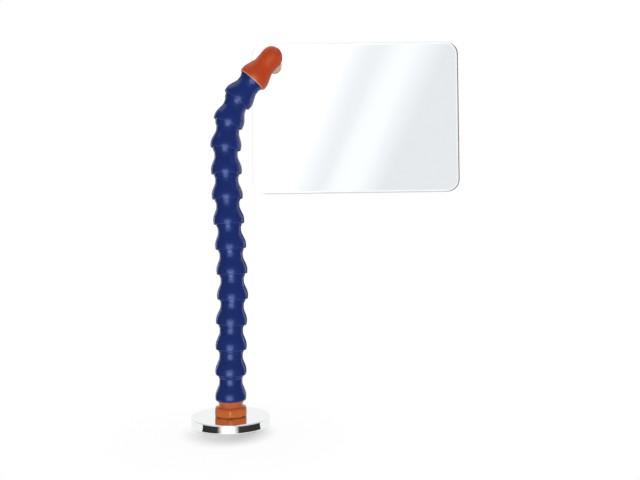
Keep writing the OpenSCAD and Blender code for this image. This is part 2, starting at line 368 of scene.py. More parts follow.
def turning_tree():
    """Turns an outline, drawn in X for radius and Y for height, about the Z axis, with each corner
    rounded by the radius that its point carries, then leans it and puts it in its place."""
    tree = bpy.data.node_groups.new("turned_piece", "GeometryNodeTree")
    for name, kind in (("Outline", "NodeSocketGeometry"), ("Steps round", "NodeSocketInt"),
                       ("Corner steps", "NodeSocketInt"), ("Place", "NodeSocketVector"),
                       ("Lean", "NodeSocketVector"), ("Finish", "NodeSocketMaterial")):
        tree.interface.new_socket(name=name, in_out="INPUT", socket_type=kind)
    tree.interface.new_socket(name="Piece", in_out="OUTPUT", socket_type="NodeSocketGeometry")
    given = add_node(tree, "NodeGroupInput").outputs
    corner = add_node(tree, "GeometryNodeInputRadius")
    rounded = add_node(tree, "GeometryNodeFilletCurve", {"mode": "POLY"},
                       {"Curve": given["Outline"], "Count": given["Corner steps"],
                        "Radius": corner.outputs[0], "Limit Radius": True})
    # the outline is carried round a circle of this size, so it is first moved in by as much
    spindle_r = 0.01
    moved = add_node(tree, "GeometryNodeTransform", None,
                     {"Geometry": rounded.outputs[0], "Translation": (-spindle_r, 0, 0)})
    spindle = add_node(tree, "GeometryNodeCurvePrimitiveCircle", None,
                       {"Resolution": given["Steps round"], "Radius": spindle_r})
    # the radius of the outline's points rounds its corners, and isn't to scale the turning
    even = add_node(tree, "GeometryNodeSetCurveRadius", None,
                    {"Curve": moved.outputs[0], "Radius": 1.0})
    turned = add_node(tree, "GeometryNodeCurveToMesh", None,
                      {"Curve": spindle.outputs[0], "Profile Curve": even.outputs[0]})
    # the outline's height comes out downwards, so the piece is rolled over
    upright = add_node(tree, "GeometryNodeTransform", None,
                       {"Geometry": turned.outputs[0], "Rotation": (math.pi, 0, 0)})
    placed = add_node(tree, "GeometryNodeTransform", None,
                      {"Geometry": upright.outputs[0], "Translation": given["Place"],
                       "Rotation": given["Lean"]})
    joined = add_node(tree, "GeometryNodeMergeByDistance", None,
                      {"Geometry": placed.outputs[0], "Distance": 0.002 * MM})
    real = add_node(tree, "GeometryNodeRealizeInstances", None, {"Geometry": joined.outputs[0]})
    finished = add_node(tree, "GeometryNodeSetMaterial", None,
                        {"Geometry": real.outputs[0], "Material": given["Finish"]})
    add_node(tree, "NodeGroupOutput", None, {0: finished.outputs[0]})
    return tree


TURNING = turning_tree()
# the pieces so far, by the slot of their finish
made = {}


def new_piece(name, mesh, material, nodes, body, slot):
    """Puts a finished mesh in the scene in place of its CAD nodes. A mesh that brings no material
    gets this one."""
    piece = bpy.data.objects.new(name, mesh)
    scene.collection.objects.link(piece)
    if not mesh.materials:
        mesh.materials.append(material)
    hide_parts(*nodes)
    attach(piece, body)
    made.setdefault(slot, []).append(piece)
    return piece


def turned_mesh(name, outline, material, place, lean, steps):
    """The mesh of an outline of (radius, height, corner radius) points in millimetres, turned in
    that many steps, leant, and put in its place."""
    curve = bpy.data.curves.new(name, "CURVE")
    curve.dimensions = "3D"
    line = curve.splines.new("POLY")
    line.points.add(len(outline) - 1)
    for point, (r, z, corner) in zip(line.points, outline):
        point.co = (r * MM, z * MM, 0, 1)
        point.radius = corner * MM
    line.use_cyclic_u = True
    blank = bpy.data.objects.new(name + "_outline", curve)
    scene.collection.objects.link(blank)
    turning = blank.modifiers.new("turning", "NODES")
    turning.node_group = TURNING
    sockets = {s.name: s.identifier for s in TURNING.interface.items_tree if s.in_out == "INPUT"}
    turning[sockets["Steps round"]] = steps
    turning[sockets["Corner steps"]] = CORNER_STEPS
    turning[sockets["Place"]] = tuple(place)
    turning[sockets["Lean"]] = tuple(lean)
    turning[sockets["Finish"]] = material
    graph = bpy.context.evaluated_depsgraph_get()
    mesh = bpy.data.meshes.new_from_object(blank.evaluated_get(graph))
    blank.modifiers.remove(turning)
    bpy.data.objects.remove(blank)
    bpy.data.curves.remove(curve)
    mesh.name = name
    return mesh


def arc(centre_z, radius, start, end):
    """Points of an arc about a centre on the axis; angles are degrees above level."""
    count = max(2, int(abs(end - start) / ARC_STEP) + 1)
    return [(radius * math.cos(math.radians(a)), centre_z + radius * math.sin(math.radians(a)), 0)
            for a in np.linspace(start, end, count)]


def segment_outline():
    """Outline of an arm segment: bore, ball, neck, flank, bulge, lip and seat, with the soft
    hollows that a mould leaves between neck and flank and between neck and ball."""
    bulge_r = SEAT_R + SEGMENT_WALL
    slope = math.radians(SEGMENT_FLANK)
    flank_r = bulge_r * math.cos(slope)
    flank_z = BULGE_RISE + bulge_r * math.sin(slope)
    waist_z = flank_z + (flank_r - NECK_R) / math.tan(slope)
    ball_z = pitch / MM
    waist_hollow_r = 9.0
    # the hollow under the ball touches the neck and the ball
    hollow_r = 1.6
    hollow_points = 4
    hollow_drop = math.sqrt((BALL_R + hollow_r) ** 2 - (NECK_R + hollow_r) ** 2)
    hollow_angle = math.degrees(math.atan2(hollow_drop, NECK_R + hollow_r))
    ball_top_angle = math.degrees(math.asin(BALL_TOP / BALL_R))
    lip_angle = -math.degrees(math.asin((LIP_DROP - LIP_EDGE + BULGE_RISE) / bulge_r))
    lip_r = math.sqrt(bulge_r ** 2 - (LIP_DROP + BULGE_RISE) ** 2)
    mouth_r = math.sqrt(SEAT_R ** 2 - (LIP_DROP - LIP_CHAMFER) ** 2)
    seat_top = math.degrees(math.acos(BORE_R / SEAT_R))
    seat_end = -math.degrees(math.asin((LIP_DROP - LIP_CHAMFER) / SEAT_R))
    # degrees by which the arcs stop short of the corners, which leaves these room for rounding
    lip_gap, ball_gap, seat_gap, mouth_gap = 1.5, 2, 4, 3
    points = [(mouth_r, -LIP_DROP + LIP_CHAMFER, 0.3),
              (mouth_r + LIP_CHAMFER, -LIP_DROP, 0.2),
              (lip_r - LIP_EDGE * 0.5, -LIP_DROP, 0.8)]
    points += arc(BULGE_RISE, bulge_r, lip_angle + lip_gap, SEGMENT_FLANK)
    points += [(NECK_R, waist_z, waist_hollow_r)]
    points += [(NECK_R + hollow_r - hollow_r * math.cos(a),
                ball_z - hollow_drop + hollow_r * math.sin(a), 0)
               for a in np.radians(np.linspace(0, hollow_angle, hollow_points))]
    points += arc(ball_z, BALL_R, -hollow_angle, ball_top_angle - ball_gap)[1:]
    ball_top_r = math.sqrt(BALL_R ** 2 - BALL_TOP ** 2)
    points += [(ball_top_r, ball_z + BALL_TOP, 0.5), (BORE_R, ball_z + BALL_TOP, 0.4)]
    points += [(BORE_R, SEAT_R * math.sin(math.radians(seat_top)), 0.4)]
    points += arc(0, SEAT_R, seat_top - seat_gap, seat_end + mouth_gap)
    return points


def paint_light_on_lip(mesh, ball, lean, width, share=1.0, nozzle=None):
    """Marks a painted pale highlight on the lip of a socket, over that width in millimetres above
    its edge, and painted light on a nozzle as well, given as its axis's place, the depth where it
    starts and its radius."""
    spots = np.empty(len(mesh.vertices) * 3)
    mesh.vertices.foreach_get("co", spots)
    spots = spots.reshape(-1, 3) / MM
    away = spots - np.array(ball) / MM
    up = away[:, 0] * math.sin(lean) + away[:, 2] * math.cos(lean)
    # in full over the lower half of that width, and fading over the upper
    painted_light = share * np.clip((width - LIP_DROP - up) / width * 2, 0, 1)
    if nozzle is not None:
        axis, start, radius = nozzle
        fade_along, fade_off = 4, 1.5
        off = np.hypot(spots[:, 0] - axis.x / MM, spots[:, 2] - axis.z / MM)
        painted_light = np.maximum(painted_light, np.clip((spots[:, 1] - start) / fade_along, 0, 1)
                          * np.clip((radius + fade_off - off) / fade_off, 0, 1))
    painted_light_mask = mesh.attributes.new("painted_light_mask", "FLOAT", "POINT")
    painted_light_mask.data.foreach_set("value", painted_light)


OUTLINE = segment_outline()
for number, (ball, lean) in enumerate(zip(balls[:-1], leans), start=1):
    name = f"arm_segment_{number:02d}"
    mesh = turned_mesh(name + "_moulded", OUTLINE, BLUE, ball, (0, lean, 0), SEGMENT_STEPS)
    # the pale line along each lip is a painted highlight
    paint_light_on_lip(mesh, ball, lean, SEGMENT_PAINTED_LIGHT)
    new_piece(name + "_moulded", mesh, BLUE, [name], f"segment_{number:02d}", "blue_acetal")


# ---------------------------------------------------------------- pieces from distance fields

# fields that are joined run this far into each other, in millimetres
OVERLAP = 1


def join(a, b, fillet):
    """The union of two distance fields, with a hollow fillet of about that radius between them."""
    near = np.maximum(fillet - np.abs(a - b), 0) / fillet
    return np.minimum(a, b) - near * near * fillet / 4


def meet(a, b, edge):
    """What two distance fields share, with the edge between them rounded."""
    return -join(-a, -b, edge)


def ring_distance(r, z, centre_z, radius):
    """Distance to a circle about a point on the axis."""
    return np.hypot(r, z - centre_z) - radius


def slope_distance(r, z, at_r, at_z, angle):
    """Distance outwards from a flank through a point, which leans in to the axis as z grows."""
    lean = math.radians(angle)
    return (r - at_r) * math.cos(lean) + (z - at_z) * math.sin(lean)


def net_mesh(name, field, low, high, cell):
    """Meshes the zero surface of a distance field, all in millimetres: one corner in each cell
    that the surface crosses, drawn on to the surface, and a face round each crossed edge."""
    margin = 2 * cell
    low, high = np.array(low, float) - margin, np.array(high, float) + margin
    counts = np.ceil((high - low) / cell).astype(int) + 1
    axes = [low[i] + cell * np.arange(counts[i]) for i in range(3)]
    values = field(*np.meshgrid(*axes, indexing="ij"))
    within = values < 0
    cells = np.zeros(counts - 1, int)
    for i, j, k in np.ndindex(2, 2, 2):
        cells += within[i:counts[0] - 1 + i, j:counts[1] - 1 + j, k:counts[2] - 1 + k]
    # the surface crosses a cell with some but not all of its corners within
    crossed = (cells > 0) & (cells < 2 ** 3)
    number = np.full(cells.shape, -1)
    number[crossed] = np.arange(crossed.sum())
    at = np.argwhere(crossed)
    total, hits = np.zeros((len(at), 3)), np.zeros(len(at))
    for axis in range(3):
        for i, j in np.ndindex(2, 2):
            shift = np.insert([i, j], axis, 0)
            a = at + shift
            b = a + np.eye(3, dtype=int)[axis]
            va, vb = values[tuple(a.T)], values[tuple(b.T)]
            cuts = (va < 0) != (vb < 0)
            share = np.where(cuts, va / np.where(cuts, va - vb, 1), 0)
            spot = a + share[:, None] * np.eye(3)[axis]
            total += np.where(cuts[:, None], spot, 0)
            hits += cuts
    points = low + cell * total / hits[:, None]
    # each pass moves a point by at most this reach, and finds the slope there over this step
    passes, reach, step = 4, 0.5 * cell, 0.02 * cell
    least_slope, tiny = 0.5, 1e-9
    for _ in range(passes):
        value = field(*points.T)
        rise = np.stack([(field(*(points + step * e).T) - field(*(points - step * e).T))
                         / (2 * step) for e in np.eye(3)], axis=1)
        steep = np.maximum((rise ** 2).sum(1), least_slope ** 2)
        move = -value[:, None] * rise / steep[:, None]
        length = np.linalg.norm(move, axis=1, keepdims=True)
        points += move * np.minimum(1, reach / np.maximum(length, tiny))
    faces = []
    eye = np.eye(3, dtype=int)
    for axis in range(3):
        u, v = (axis + 1) % 3, (axis + 2) % 3
        head = [slice(None)] * 3
        tail = [slice(None)] * 3
        head[axis], tail[axis] = slice(1, None), slice(None, -1)
        flips = within[tuple(tail)] != within[tuple(head)]
        spots = np.argwhere(flips)
        spots = spots[(spots[:, u] > 0) & (spots[:, v] > 0)]
        ring = [number[tuple((spots - eye[u] * p - eye[v] * q).T)]
                for p, q in ((1, 1), (0, 1), (0, 0), (1, 0))]
        quads = np.stack(ring, axis=1)
        outward = within[tuple(spots.T)]
        faces.append(np.where(outward[:, None], quads, quads[:, ::-1]))
    mesh = bpy.data.meshes.new(name)
    mesh.from_pydata((points * MM).tolist(), [], np.concatenate(faces).tolist())
    mesh.polygons.foreach_set("use_smooth", [True] * len(mesh.polygons))
    return mesh


def socket_field(r, z):
    """The outside of the head's socket: its bulge, and the flank that runs up from it."""
    bulge_r = SEAT_R + HEAD_WALL
    flank_r = bulge_r * math.cos(math.radians(HEAD_FLANK))
    flank_z = BULGE_RISE + bulge_r * math.sin(math.radians(HEAD_FLANK))
    bulge = np.maximum(ring_distance(r, z, BULGE_RISE, bulge_r), z - flank_z)
    flank = slope_distance(r, z, flank_r, flank_z, HEAD_FLANK)
    return np.minimum(bulge, np.maximum(flank, flank_z - OVERLAP - z))


def seat_field(r, z):
    """What the ball's seat and the chamfer inside the lip take out of a socket."""
    mouth_r = math.sqrt(SEAT_R ** 2 - (LIP_DROP - LIP_CHAMFER) ** 2)
    above_mouth = z + LIP_DROP - LIP_CHAMFER
    mouth = (r - mouth_r + above_mouth) / math.sqrt(2)
    return np.minimum(ring_distance(r, z, 0, SEAT_R), np.maximum(mouth, above_mouth))


def elbow_field(x, y, z):
    """The head: a socket on the arm's last ball, a waist, a domed elbow, and a barrel that steps
    down to the nozzle and the stud, with the rounded hollows of a moulding between them."""
    lean, foot = leans[-1], balls[-1] / MM
    dx, dz = x - foot.x, z - foot.z
    up = dx * math.sin(lean) + dz * math.cos(lean)
    r = np.hypot(dx * math.cos(lean) - dz * math.sin(lean), y)
    rise = (elbow - balls[-1]).length / MM
    waist = np.maximum(r - ELBOW_R, np.maximum(BALL_TOP - up, up - rise))
    dome = ring_distance(r, up, rise, ELBOW_R)
    socket = np.maximum(socket_field(r, up), up - rise)
    body = join(np.minimum(waist, dome), socket, fillet=0.8)
    body = meet(body, -(up + LIP_DROP), edge=1.2)
    s = np.hypot(x - elbow.x / MM, z - elbow.z / MM)
    taper = math.degrees(math.atan2(BARREL_R - NOZZLE_R, TAPER_L))
    shoulder = slope_distance(s, y, BARREL_R, BARREL_L, taper)
    barrel = meet(s - BARREL_R, shoulder, edge=1.2)
    barrel = meet(barrel, y - BARREL_L - TAPER_L - 2 * OVERLAP, edge=0.5)
    barrel = np.maximum(barrel, -y)
    nozzle = meet(np.maximum(s - NOZZLE_R, -y), y - NOZZLE_REACH, edge=0.5)
    stud = meet(np.maximum(s - STUD_R, -y), y - STUD_END, edge=0.5)
    solid = join(join(body, barrel, fillet=2.5), nozzle, fillet=1.5)
    solid = np.minimum(solid, stud)
    bore = np.maximum(np.maximum(r - BORE_R, up - rise), -up)
    return meet(solid, -np.minimum(seat_field(r, up), bore), edge=0.4)


def connector_field(x, y, z):
    """The connector: a hexagon with its corners broken above and below, a short neck and the first
    ball, with a hole for the base screw below and the hose's bore above."""
    r = np.hypot(x, y)
    turns = np.radians(HEX_TURN + np.arange(0, 360, 60))
    flats = [x * math.cos(turn) + y * math.sin(turn) - HEX_AF / 2 for turn in turns]
    block = flats[0]
    for flat in flats[1:]:
        block = meet(block, flat, edge=3.0)
    top = CUP_H + HEX_H
    corner = slope_distance(r, z, HEX_TOP_R, top, 90 - HEX_CHAMFER)
    block = meet(meet(block, corner, edge=1.6), z - top, edge=1.0)
    foot = slope_distance(r, 2 * CUP_H - z, HEX_FOOT_R, CUP_H, 90 - HEX_FOOT_CHAMFER)
    block = meet(meet(block, foot, edge=0.6), CUP_H - z, edge=0.3)
    ball_z = balls[0].z / MM
    ball = ring_distance(r, z, ball_z, BALL_R)
    neck = np.maximum(r - NECK_R, np.maximum(top - OVERLAP - z, z - ball_z))
    knob = meet(join(ball, neck, fillet=1.6), z - ball_z - BALL_TOP, edge=0.5)
    knob = np.maximum(knob, top - OVERLAP - z)
    solid = join(block, knob, fillet=1.2)
    screw = np.maximum(r - SCREW_HOLE_R, z - HEX_HOLE_TOP)
    bore = np.maximum(r - BORE_R, HEX_BORE_FLOOR - z)
    return meet(solid, -np.minimum(screw, bore), edge=0.4)


def nut_field(x, y, z):
    """The cap nut: a low round cap with flutes round its side and a slot across its face."""
    s = np.hypot(x - elbow.x / MM, z - elbow.z / MM)
    turn = np.arctan2(z - elbow.z / MM, x - elbow.x / MM)
    side = s - NUT_R + NUT_FLUTE_DEPTH / 2 * (1 - np.cos(turn * NUT_FLUTES))
    near, far = PLATE_BACK + WASHER_T, PLATE_BACK + WASHER_T + NUT_H
    cap = meet(meet(side, y - far, edge=0.9), near - y, edge=0.4)
    stud = np.maximum(s - STUD_R - FIT_GAP, y - STUD_END - FIT_GAP)
    slot = np.maximum(np.abs(z - elbow.z / MM) - NUT_SLOT_W / 2, far - NUT_SLOT_DEPTH - y)
    return meet(meet(cap, -slot, edge=0.3), -stud, edge=0.3)


def screw_field(x, y, z):
    """The pan head screw, with its hexagon key socket."""
    r = np.hypot(x, y)
    head = meet(r - SCREW_HEAD_R, z - SCREW_HEAD_HIGH, edge=0.3)
    head = meet(head, SCREW_HEAD_LOW - z, edge=0.8)
    shank = meet(r - SCREW_R, z - SCREW_TIP, edge=0.6)
    shank = np.maximum(shank, SCREW_SHANK_LOW - z)
    key = z - SCREW_KEY_TOP
    for turn in np.radians((30, 90, 150)):
        flats = np.abs(x * math.cos(turn) + y * math.sin(turn)) - SCREW_KEY_AF / 2
        key = np.maximum(key, flats)
    return meet(join(head, shank, fillet=0.3), -key, edge=0.15)


def washer_field(x, y, z):
    """The split lock washer."""
    r = np.hypot(x, y)
    ring = meet(r - SCREW_HEAD_R, SCREW_HOLE_R - r, edge=0.2)
    ring = meet(ring, np.abs(z - LOCK_WASHER_Z) - LOCK_WASHER_T / 2, edge=0.2)
    split = np.maximum(np.maximum(-x, y), -y - LOCK_WASHER_SPLIT)
    return meet(ring, -split, edge=0.1)


# each piece's name, field, cell size in millimetres, finish, body and slot
SHAPED = (
    ("base_connector", connector_field, 0.42, ORANGE, "base", "orange_acetal"),
    ("head_elbow", elbow_field, 0.41, ORANGE_PAINTED_SHADE, "head", "orange_acetal"),
    ("cap_nut", nut_field, 0.2, ORANGE_PAINTED_LIGHT, "head", "orange_acetal"),
    ("base_screw", screw_field, 0.22, ZINC, "base", "zinc_steel"),
    ("lock_washer", washer_field, 0.18, ZINC, "base", "zinc_steel"),
)
for name, field, cell, material, body, slot in SHAPED:
    low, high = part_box(name)
    mesh = net_mesh(name + "_formed", field, low / MM, high / MM, cell)
    if name == "head_elbow":
        # a painted highlight on the head's lip, and painted light on its nozzle
        paint_light_on_lip(mesh, balls[-1], leans[-1], HEAD_PAINTED_LIGHT, HEAD_PAINTED_LIGHT_SHARE,
                (elbow, BARREL_L, BARREL_R))
    new_piece(name + "_formed", mesh, material, [name], body, slot)

# where the cup's side and top start and end, a little away from its rounded edges
EDGE_MARGIN = 0.2
SIDE_LOW = 0.8
SIDE_HIGH = CUP_H - CUP_EDGE_R - EDGE_MARGIN
TOP_OUTER_R = CUP_R - CUP_EDGE_R - EDGE_MARGIN
TOP_INNER_R = 4.0
CUP_OUTLINE = [
    (CUP_R - CUP_WALL, 0, 0.3), (CUP_R, 0, 0.5), (CUP_R, SIDE_LOW, 0), (CUP_R, SIDE_HIGH, 0),
    (CUP_R, CUP_H, CUP_EDGE_R), (TOP_OUTER_R, CUP_H, 0), (TOP_INNER_R, CUP_H, 0),
    (CUP_HOLE_R, CUP_H, 0.3), (CUP_HOLE_R, CUP_H - CUP_TOP, 0.2),
    (CUP_R - CUP_WALL, CUP_H - CUP_TOP, 0.6)]
MAGNET_OUTLINE = [
    (MAGNET_HOLE_R, MAGNET_LOW, 0.4), (MAGNET_R, MAGNET_LOW, 0.3), (MAGNET_R, MAGNET_HIGH, 0.2),
    (MAGNET_HOLE_R, MAGNET_HIGH, 0.2)]
WASHER_OUTLINE = [
    (STUD_R + FIT_GAP, WASHER_RUN, 0.25), (WASHER_R, WASHER_RUN, 0.35),
    (WASHER_R, WASHER_T - WASHER_RUN, 0.35), (STUD_R + FIT_GAP, WASHER_T - WASHER_RUN, 0.25)]
ORIGIN = (0, 0, 0)
UPRIGHT = (0, 0, 0)
ALONG_STUD = (-math.pi / 2, 0, 0)
NOZZLE_END = elbow + Vector((0, NOZZLE_REACH * MM, 0))
BEHIND_PLATE = elbow + Vector((0, PLATE_BACK * MM, 0))
# each piece's name, outline, finish, place, lean, steps round, body and slot
TURNED = (
    ("magnet_cup", CUP_OUTLINE, CHROME, ORIGIN, UPRIGHT, 192, "base", "chrome_plate"),
    ("ring_magnet", MAGNET_OUTLINE, FERRITE, ORIGIN, UPRIGHT, 128, "base", "ferrite"),
    ("front_washer", WASHER_OUTLINE, NYLON, NOZZLE_END, ALONG_STUD, 64, "head", "natural_nylon"),
    ("back_washer", WASHER_OUTLINE, NYLON, BEHIND_PLATE, ALONG_STUD, 64, "head", "natural_nylon"),
)
for name, outline, material, place, lean, steps, body, slot in TURNED:
    mesh = turned_mesh(name + "_turned", outline, material, place, lean, steps)
    new_piece(name + "_turned", mesh, material, [name], body, slot)


# ---------------------------------------------------------------- the clear plate

# how far in from the plate's outline its eased edge, the painted shade and the pale band reach
EASED = 0.75
PAINTED_SHADE_REACH = 0.95
BANDED = 2.4
# the share of painted shade on the plate's edge, as if lit from the upper left: on its outer side,
# on its lower side, beside the arm, round its hole, and where a face meets the rounding of its
# edge
OUTER_PAINTED_SHADE = 1.25
LOWER_PAINTED_SHADE = 0.45
ARM_SIDE_PAINTED_SHADE = 0.12
HOLE_PAINTED_SHADE = 0.3
FACE_PAINTED_SHADE = 0.8


def plate_mesh():
    """The plate: a sheet with rounded corners, milled and eased edges, and the stud's hole."""
    corner_steps, hole_steps, edge_steps = 12, 48, 4
    hole_r = STUD_R + PLATE_PLAY
    tilt = Matrix.Rotation(math.radians(-PLATE_TURN), 3, "Y")

    def rim(inset):
        """The outline drawn in by an inset, anticlockwise as seen from the front, from the hole's
        centre, with the share of painted shade at each point."""
        x0, z0 = -HOLE_FROM_SIDE, HOLE_FROM_TOP - PLATE_H
        points = []
        for cx, cz, start in ((PLATE_W - PLATE_CORNER_R, PLATE_H - PLATE_CORNER_R, 0),
                              (PLATE_CORNER_R, PLATE_H - PLATE_CORNER_R, 90),
                              (PLATE_CORNER_R, PLATE_CORNER_R, 180),
                              (PLATE_W - PLATE_CORNER_R, PLATE_CORNER_R, 270)):
            for a in np.radians(np.linspace(start, start + 90, corner_steps + 1)):
                # painted shade: strongest at the lower right, away from light from the upper left
                painted_shade_share = max(-ARM_SIDE_PAINTED_SHADE * math.cos(a),
                             OUTER_PAINTED_SHADE * math.cos(a) - LOWER_PAINTED_SHADE * math.sin(a))
                points.append((x0 + cx + (PLATE_CORNER_R - inset) * math.cos(a),
                               z0 + cz + (PLATE_CORNER_R - inset) * math.sin(a),
                               min(1.0, painted_shade_share)))
        return points

    def hole(inset):
        """The hole's outline, widened by an inset, with its painted shade."""
        return [((hole_r + inset) * math.cos(a), (hole_r + inset) * math.sin(a), HOLE_PAINTED_SHADE)
                for a in np.linspace(0, 2 * math.pi, hole_steps, endpoint=False)]

    shape = bmesh.new()
    painted_edge_shade = shape.verts.layers.float.new("painted_edge_shade")

    def loop(points, y, share):
        """An outline's corners at a depth in the sheet, with that share of their painted shade."""
        corners = []
        for x, z, painted_shade_share in points:
            spot = elbow / MM + tilt @ Vector((x, 0, z))
            corners.append(shape.verts.new(Vector((spot.x, y, spot.z)) * MM))
            corners[-1][painted_edge_shade] = painted_shade_share * share
        return corners

    bend = [math.pi / 2 * i / edge_steps for i in range(edge_steps + 1)]
    levels = [(BANDED, PLATE_FRONT, 0), (PAINTED_SHADE_REACH, PLATE_FRONT, 0)]
    levels += [(EASED * (1 - math.sin(a)), PLATE_FRONT + EASED * (1 - math.cos(a)),
                min(1, FACE_PAINTED_SHADE + a)) for a in bend]
    levels += [(EASED * (1 - math.cos(a)), PLATE_BACK - EASED * (1 - math.sin(a)),
                min(1, FACE_PAINTED_SHADE + math.pi / 2 - a)) for a in bend]
    levels += [(PAINTED_SHADE_REACH, PLATE_BACK, 0), (BANDED, PLATE_BACK, 0)]
    face_rings = ([], [])
    for outline in (rim, hole):
        loops = [loop(outline(inset), y, share) for inset, y, share in levels]
        for a, b in zip(loops, loops[1:]):
            for i in range(len(a)):
                face = shape.faces.new((a[i], a[i - 1], b[i - 1], b[i]))
                face.smooth = True
                face.material_index = 1
        face_rings[0].append(loops[0])
        face_rings[1].append(loops[-1])
    for rings in face_rings:
        edges = [shape.edges.get((a, b))
                 for ring in rings for a, b in zip(ring, ring[1:] + ring[:1])]
        bmesh.ops.triangle_fill(shape, use_beauty=True, edges=edges)
    bmesh.ops.recalc_face_normals(shape, faces=shape.faces)
    mesh = bpy.data.meshes.new("shield_plate_polished")
    shape.to_mesh(mesh)
    shape.free()
    mesh.materials.append(CLEAR)
    mesh.materials.append(EDGE)
    return mesh


plate = new_piece("shield_plate_polished", plate_mesh(), CLEAR, ["shield_plate"], "shield",
                  "clear_polycarbonate")
plate.visible_shadow = False


# ---------------------------------------------------------------- floor, light and camera

WHITE = (1, 1, 1, 1)
FLOOR_REACH = 6.0
# the flags, panels and cards on the floor lie this far above it
FLAG_Z = 0.0004
LOW_Z = 0.0006
FOOT_Z = 0.0007
# the flags at the sides turn to the backdrop's white over the first of these angles at their
# ends, and have corners about the second apart, in degrees
FLAG_FADE = 18.0
FLAG_STEP = 6


def stage_mesh(name, corners, faces, material, strengths=None):
    """A floor or card of the studio, which isn't part of the object. The strengths are the glow
    at its corners."""
    mesh = bpy.data.meshes.new(name)
    mesh.from_pydata([tuple(c) for c in corners], [], faces)
    if strengths is not None:
        glow = mesh.attributes.new("glow", "FLOAT", "POINT")
        glow.data.foreach_set("value", strengths)
    mesh.materials.append(material)
    item = bpy.data.objects.new(name, mesh)
    scene.collection.objects.link(item)
    item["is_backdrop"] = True
    return item


def glow_material():
    """A card that shines as strongly as its corners' glow values say."""
    material, tree, _ = new_material("studio_card")
    glow = add_node(tree, "ShaderNodeAttribute", {"attribute_name": "glow"}).outputs["Fac"]
    return finish_material(material, "ShaderNodeEmission", {"Color": WHITE, "Strength": glow})


GLOW = glow_material()


def catchers(name, *slots):
    """The pieces with these finishes, as a group that catches the light of certain cards and
    panels."""
    group = bpy.data.collections.new(name)
    for slot in slots:
        for piece in made[slot]:
            group.objects.link(piece)
    return group


ARM = catchers("arm_catchers", "blue_acetal")
PLASTICS = catchers("plastic_catchers", "blue_acetal", "orange_acetal", "natural_nylon")
CONNECTOR = bpy.data.collections.new("connector_catcher")
CONNECTOR.objects.link(bpy.data.objects["base_connector_formed"])
BRIGHT = catchers("bright_catchers", "chrome_plate", "zinc_steel", "ferrite",
                  "clear_polycarbonate")


def card(name, rows, group=None):
    """A card seen only in reflections. Each row is a list of (point, strength), joined to the
    next row by faces. It is black to the pieces outside its group, if it has one."""
    corners = [Vector(p) for row in rows for p, _ in row]
    strengths = [s for row in rows for _, s in row]
    wide = len(rows[0])
    faces = [(i * wide + k, i * wide + k + 1, (i + 1) * wide + k + 1, (i + 1) * wide + k)
             for i in range(len(rows) - 1) for k in range(wide - 1)]
    item = stage_mesh(name, corners, faces, GLOW, strengths)
    item.visible_camera = item.visible_diffuse = item.visible_shadow = False
    item.visible_transmission = False
    item.light_linking.receiver_collection = group
    return item


def polar(azimuth, distance, height):
    """A point at an azimuth from the front, counted towards +X, round the base, in metres."""
    a = math.radians(azimuth)
    return (math.sin(a) * distance, -math.cos(a) * distance, height)


def side_flag(name, rows, left, right):
    """A card for the metal and the plate that bends round the base between two azimuths: each row
    is its distance, height and strength. Its ends turn to the backdrop's white."""
    angles = np.linspace(left, right, max(2, int(abs(right - left) / FLAG_STEP) + 1))

    def faded(azimuth, strength):
        """The strength at that azimuth, faded at the ends."""
        near = min(azimuth - left, right - azimuth)
        return 1.0 + (strength - 1.0) * min(1.0, near / FLAG_FADE)

    card(name, [[(polar(a, d, z), faded(a, s)) for a in angles] for d, z, s in rows], BRIGHT)


def floor_material():
    """A seamless pale sweep. It keeps a soft shadow close before the base, fades to white away
    from it, and is white in reflections."""
    material, tree, place = new_material("pale_floor")
    path = add_node(tree, "ShaderNodeLightPath").outputs
    mirrored = calculate(tree, "MAXIMUM", path["Is Glossy Ray"], path["Is Transmission Ray"])
    shadow_middle, shadow_squeeze = (0.002, -0.030, 0), (1.15, 1, 1)
    middle = add_node(tree, "ShaderNodeVectorMath", {"operation": "SUBTRACT"},
                      {0: place, 1: shadow_middle})
    oval = add_node(tree, "ShaderNodeVectorMath", {"operation": "MULTIPLY"},
                    {0: middle.outputs[0], 1: shadow_squeeze})
    away = add_node(tree, "ShaderNodeVectorMath", {"operation": "LENGTH"}, {0: oval.outputs[0]})
    away = away.outputs["Value"]
    close = ramp(tree, away, 0.0, 0.95, start=0.020, end=0.056, kind="SMOOTHSTEP")
    wide = ramp(tree, away, 0.0, 0.05, start=0.05, end=0.16, kind="SMOOTHSTEP")
    fade = calculate(tree, "ADD", close, wide)
    shown = calculate(tree, "MULTIPLY", path["Is Camera Ray"], fade)
    share = calculate(tree, "MAXIMUM", shown, mirrored)
    matt = add_node(tree, "ShaderNodeBsdfDiffuse", None, {"Color": linear("FAFAFA")})
    white = add_node(tree, "ShaderNodeEmission", None, {"Color": WHITE, "Strength": 1.0})
    return finish_material(material, "ShaderNodeMixShader",
                           {0: share, 1: matt.outputs[0], 2: white.outputs[0]})


FLOOR_CORNERS = [(-FLOOR_REACH, -FLOOR_REACH, 0), (FLOOR_REACH, -FLOOR_REACH, 0),
                 (FLOOR_REACH, FLOOR_REACH, 0), (-FLOOR_REACH, FLOOR_REACH, 0)]
stage_mesh("floor", FLOOR_CORNERS, [(0, 1, 2, 3)], floor_material())

